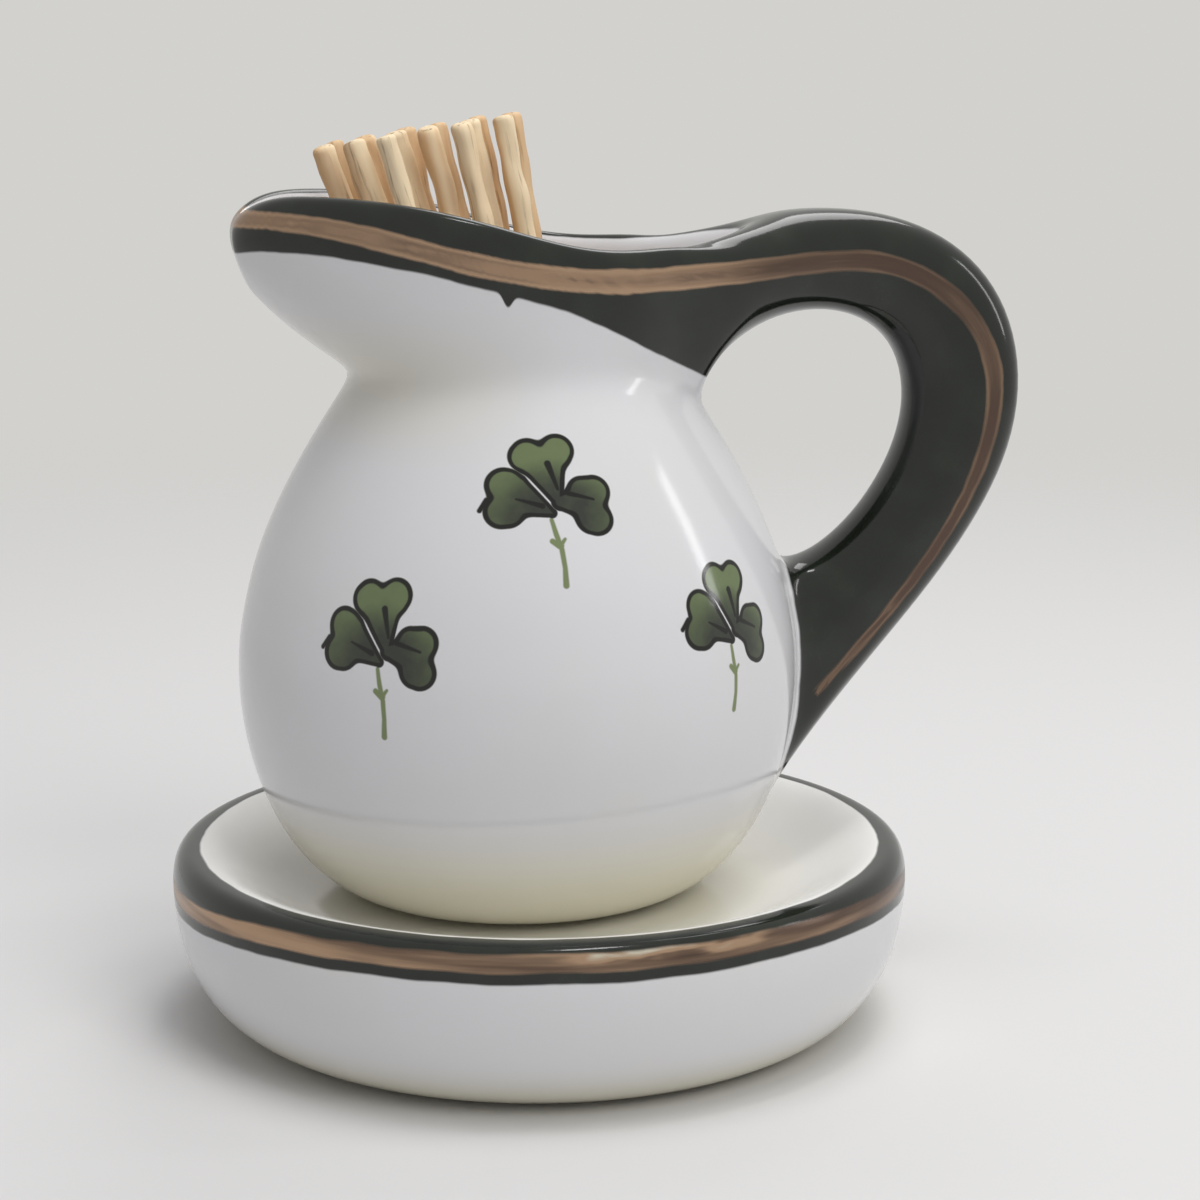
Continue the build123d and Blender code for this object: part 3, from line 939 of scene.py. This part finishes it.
place = new_finish(jug, "jug_glaze")
x, y, z = apart(place)
wobble = place.sway(JUG_BAND_SCALE, JUG_BAND_WOBBLE)
off_drip = (x - (JUG_X + DRIP_X)) / DRIP_WIDTH
drip = off_drip.math("EXPONENT", 0 - off_drip * off_drip) * y.below(DRIP_Y) * DRIP_LENGTH
green = past(place.stored("in_green") + wobble + drip)
in_copper = place.stored("in_copper")
along_copper = place.stored("along_copper")
copper = past(in_copper + wobble)
lengthwise = {"X": along_copper * BRUSH_STRETCH[0], "Y": in_copper}
brush_and_sheen = place.node("ShaderNodeCombineXYZ", {}, lengthwise).noise(BRUSH_SCALE, FINE_DETAIL)
# The copper darkens along its line onto the handle.
brush_and_sheen = brush_and_sheen + COPPER_LIFT - along_copper.rise(*HANDLE_DARK_RUN) * COPPER_DARKENING
# Painted highlight along both edges of the copper line.
brush_and_sheen = brush_and_sheen + in_copper.fall(EDGE_BLUR, EDGE_SHEEN_WIDTH) * EDGE_SHEEN_LIFT
# Painted shade in the neck under the lip.
warm_shade = abs(z - (DISH_Z + NECK_HEIGHT)).fall(0.0, NECK_SHADE_REACH) * (JUG_X - x).rise(*NECK_SHADE_RUN) * NECK_SHADE_DEPTH
# Painted warm light from the dish on the lower belly, with the painted shade under the lip.
cream_light_and_shade = (z.fall(*DISH_BOUNCE_RUN) * CREAM_AND_BOUNCE_DEPTH).most(warm_shade)
glaze(place, cream_light_and_shade, shamrock(place), green, copper, brush_and_sheen, z.fall(*JUG_BARE_EDGE))
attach(jug, "jug")
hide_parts("jug_body", "jug_handle")

# Toothpicks
# Fourteen wooden picks stand loose in the jug and lean against the lip. Each is a thin stick cut from a
# splint, so it is never quite round. It has a long point at the lower end, and a blunt top that is cut a
# little askew.
PICK_LENGTH = 61.0 * MM
PICK_R = 0.9 * MM
PICK_COLUMNS = 12
TIP_R = 0.25 * MM
TIP_ROUND = 0.2 * MM
PICK_TAPER = 9.0 * MM
TAPER_SHARES = (0.3, 0.6, 0.85)
SHANK_STARTS = 1.1 * PICK_TAPER
SHANK_RINGS = 9
KNOTTY_LENGTH = 20.0 * MM
KNOTTY_RINGS = 18
KNOT_SWELL = (0.87, 1.14)
KNOT_SHIFT = 0.13 * MM
RING_REACH = 0.1 * MM
TOP_ROUND = 0.35 * MM
TOP_EDGE_IN = 0.4 * TOP_ROUND
TOP_EDGE_UP = 0.8 * TOP_ROUND
TOP_SHARES = (0.5, 0.2)
TOP_ASKEW = 0.22
PICK_WIDTHS = (0.9, 1.16)
PICK_UNEVEN = 0.4 * MM
UNEVEN_OUTWARD = 0.7
UNEVEN_ROUNDS = 2
PICK_LEVELS = 1
PICK_SEED = 14

top_z = PICK_LENGTH - PICK_R * TOP_ASKEW - TOP_ROUND
knotty_z = top_z - KNOTTY_LENGTH
cut_z = top_z - TOP_ROUND / 2
shank = np.linspace(SHANK_STARTS, knotty_z, SHANK_RINGS)
knotty = np.linspace(knotty_z, top_z - TOP_ROUND, KNOTTY_RINGS)[1:].tolist()
pick_line = [(TIP_R / 2, 0.0), (TIP_R, TIP_ROUND)]
pick_line += [(TIP_R + (PICK_R - TIP_R) * share, PICK_TAPER * share) for share in TAPER_SHARES]
pick_line += [(PICK_R, height) for height in (*shank, *knotty, top_z)]
pick_line += [(PICK_R - TOP_EDGE_IN, top_z + TOP_EDGE_UP)]
pick_line += [(PICK_R * share, top_z + TOP_ROUND) for share in TOP_SHARES]
pick_turns = even_turns(PICK_COLUMNS)
whittled = begin_piece("whittled_pick", PICK_COLUMNS, TIP_R)
raise_wall(whittled, [round_ring(radius, height, pick_turns) for radius, height in pick_line])
bpy.ops.object.mode_set(mode="OBJECT")
drop_marks(whittled)

WOOD_PALE = paint("fbe7c2")
WOOD_TAN = paint("dab080")
# Brown of the fibres, and of the painted shade on the picks.
FIBRE_AND_SHADE_BROWN = paint("5a3a1d")
WOOD_ROUGHNESS = 0.72
WOOD_SCALE = 900.0
FIBRE_STRETCH = (1.0, 1.0, 0.05)
FIBRE_SCALE = 2600.0
FIBRE_RANGE = (0.54, 0.74)
FIBRE_TINT = 0.6
FIBRE_STRENGTH = 0.8
FIBRE_DEPTH = 0.05 * MM
PATCH_SCALE = 700.0
PATCH_SPAN = 1.4
BROWN_RANGE = (0.9, 1.7)
BROWN_DEPTH = 0.8
# Painted shade on the picks behind and on each one's left side.
SHADE_BEHIND = 0.65
SEASONED_CHANCE = 0.15
SHADY_SIDE = 0.6

place = new_finish(whittled, "pick_wood")
grain = place.stored("grain", "Vector")
lengthwise = grain.vector("MULTIPLY", FIBRE_STRETCH)
fibres = lengthwise.noise(FIBRE_SCALE, FINE_DETAIL)
# Painted shade of the picks behind and of each one's left side, with random patches along the grain.
shade_and_tone = place.stored("shade_and_tone") + lengthwise.sway(PATCH_SCALE, PATCH_SPAN)
tint = shade_and_tone.rise(0.0, 1.0).between(WOOD_PALE, WOOD_TAN)
tint = (shade_and_tone.rise(*BROWN_RANGE) * BROWN_DEPTH).between(tint, FIBRE_AND_SHADE_BROWN)
tint = (fibres.rise(*FIBRE_RANGE) * FIBRE_TINT).between(tint, FIBRE_AND_SHADE_BROWN)
relief = (fibres + grain.noise(WOOD_SCALE)).bump(FIBRE_STRENGTH, FIBRE_DEPTH)
dress(place, {"Base Color": tint, "Roughness": WOOD_ROUGHNESS, "Normal": relief})


def select_heights(piece, low, high):
    """Selects the points between two heights, and no others."""
    bpy.ops.mesh.select_all(action="DESELECT")
    shape = bmesh.from_edit_mesh(piece.data)
    for vert in shape.verts:
        vert.select_set(low < vert.co.z < high)
    bmesh.update_edit_mesh(piece.data)


pick_names = sorted(name for name in frame["nodes"] if name.startswith("toothpick_"))
pick_axes = {joint["child"]: Vector(joint["axis"]).normalized() for joint in frame["joints"]}
depths = {name: sum(corner.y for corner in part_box(name)) / 2 for name in pick_names}
front = min(depths.values())
back = max(depths.values())
chance = Random(PICK_SEED)
for number, name in enumerate(pick_names):
    bpy.ops.object.select_all(action="DESELECT")
    whittled.select_set(True)
    bpy.context.view_layer.objects.active = whittled
    bpy.ops.object.duplicate()
    pick = bpy.context.active_object
    pick.name = f"wooden_pick_{number + 1:02d}"
    pick.data.name = pick.name

    # A stick of its own widths and knots, uneven all along, with its own slanted cut on top.
    bpy.ops.object.mode_set(mode="EDIT")
    bpy.ops.mesh.select_all(action="SELECT")
    bpy.ops.transform.resize(value=(chance.uniform(*PICK_WIDTHS), chance.uniform(*PICK_WIDTHS), 1.0))
    for ring_z in knotty:
        select_heights(pick, ring_z - RING_REACH, ring_z + RING_REACH)
        swell = chance.uniform(*KNOT_SWELL)
        bpy.ops.transform.resize(value=(swell, swell, 1.0))
        shift = (chance.uniform(-KNOT_SHIFT, KNOT_SHIFT), chance.uniform(-KNOT_SHIFT, KNOT_SHIFT), 0.0)
        bpy.ops.transform.translate(value=shift)
    select_heights(pick, PICK_TAPER, cut_z)
    bpy.ops.transform.vertex_random(
        offset=PICK_UNEVEN, normal=UNEVEN_OUTWARD, seed=number + 1, wait_for_input=False
    )
    bpy.ops.mesh.vertices_smooth(factor=SMOOTHING, repeat=UNEVEN_ROUNDS)
    select_heights(pick, cut_z, PICK_LENGTH)
    slant = chance.uniform(-TOP_ASKEW, TOP_ASKEW)
    bpy.ops.transform.rotate(value=slant, orient_axis="Y", center_override=(0.0, 0.0, top_z))
    round_off(pick, PICK_LEVELS)

    # Each pick has its own stretch of grain. Those behind, and each one's left side, are darkened with
    # painted shade, over a random tone of each pick's own.
    points = points_of(pick)
    stretch = points + np.array([0.0, 0.0, number * PICK_LENGTH])
    pick.data.attributes.new("grain", "FLOAT_VECTOR", "POINT").data.foreach_set("vector", stretch.ravel())
    axis = pick_axes[name]
    turn = axis.to_track_quat("Z", "Y").to_matrix()
    leftward = -points[:, :2] @ np.array(turn)[0, :2]
    behind = (depths[name] - front) / (back - front)
    shade_and_tone = SHADE_BEHIND * behind + chance.uniform(-SEASONED_CHANCE, SEASONED_CHANCE)
    keep_number(pick, "shade_and_tone", shade_and_tone + SHADY_SIDE * np.clip(leftward / PICK_R, 0.0, 1.0))

    low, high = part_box(name)
    tip = Vector((high.x - TIP_R * axis.z, depths[name], low.z - TIP_R * axis.x))
    pick.data.transform(Matrix.Translation(tip) @ turn.to_4x4())
    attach(pick, name)
    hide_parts(name)
bpy.data.objects.remove(whittled)

# Floor
# A round sheet of pale matt paper that the basin stands on. It thins out all round, so that its edge is lost
# in the backdrop.
FLOOR_R = 0.9
FLOOR_COLUMNS = 96
FLOOR_FADE = (0.08 * FLOOR_R, 0.45 * FLOOR_R)
FLOOR_PAPER = paint("dedddb")
FLOOR_ROUGHNESS = 0.9
bpy.ops.object.select_all(action="DESELECT")
bpy.ops.mesh.primitive_circle_add(vertices=FLOOR_COLUMNS, radius=FLOOR_R, fill_type="NGON")
floor = bpy.context.active_object
floor.name = "floor"
place = new_finish(floor, "floor_paper")
x, y, z = apart(place)
fade = ((x * x + y * y) ** 0.5).fall(*FLOOR_FADE)
dress(place, {"Base Color": FLOOR_PAPER, "Roughness": FLOOR_ROUGHNESS, "Alpha": fade})

# Light and camera
# A pale room with two large softboxes, in front on the right and overhead, whose light the glaze doesn't
# mirror. A tall strip on the right, a lamp behind and a small one above give the glaze its highlights.
ROOM_LIGHT = (0.33, 0.33, 0.35, 1.0)
BACKDROP = paint("d2d1ce")
LAMP_AIM = Vector((0.0, 0.0, 0.035))
# Each lamp's place, its width and height, its power in watts, and whether the glaze mirrors it.
LAMPS = {
    "key": ((0.27, -0.55, 0.55), (0.35, 0.35), 1.7, False),
    "overhead": ((0.1, -0.12, 0.8), (0.5, 0.5), 2.6, False),
    "strip": ((0.4, -0.05, 0.2), (0.035, 0.2), 0.12, True),
    "rear": ((0.175, 0.316, 0.48), (0.25, 0.25), 0.6, True),
    "glint": ((0.09, -0.12, 0.72), (0.16, 0.06), 0.4, True),
}
CAMERA_PLACE = Vector((-0.03166, -0.2118, 0.076))
CAMERA_AIM = Vector((0.0049, -0.0007, 0.0341))
CAMERA_LENS = 80.66
CAMERA_NEAR = 0.01

world = bpy.data.worlds.new("studio")
bpy.context.scene.world = world
world.use_nodes = True
room = world.node_tree
rays = Shade(room, None).node("ShaderNodeLightPath", {}, {}).socket.node.outputs
seen = Shade(room, rays["Is Camera Ray"]).most(Shade(room, rays["Is Glossy Ray"]))
seen = seen.most(Shade(room, rays["Is Transmission Ray"]))
seen.feed(room.nodes["Background"], {"Color": seen.between(ROOM_LIGHT, BACKDROP)})


def set_up(name, data, place, aim):
    """Stands a lamp or the camera in its place and turns it to its aim."""
    stand = bpy.data.objects.new(name, data)
    bpy.context.scene.collection.objects.link(stand)
    stand.location = place
    stand.rotation_euler = (aim - stand.location).to_track_quat("-Z", "Y").to_euler()
    return stand


for name, (place, (width, height), power, mirrored) in LAMPS.items():
    lamp = bpy.data.lights.new(name, "AREA")
    lamp.shape = "RECTANGLE"
    lamp.size = width
    lamp.size_y = height
    lamp.energy = power
    set_up(name, lamp, place, LAMP_AIM).visible_glossy = mirrored
camera = set_up("camera", bpy.data.cameras.new("camera"), CAMERA_PLACE, CAMERA_AIM)
camera.data.lens = CAMERA_LENS
camera.data.clip_start = CAMERA_NEAR
bpy.context.scene.camera = camera
bpy.context.scene.view_settings.view_transform = "Standard"
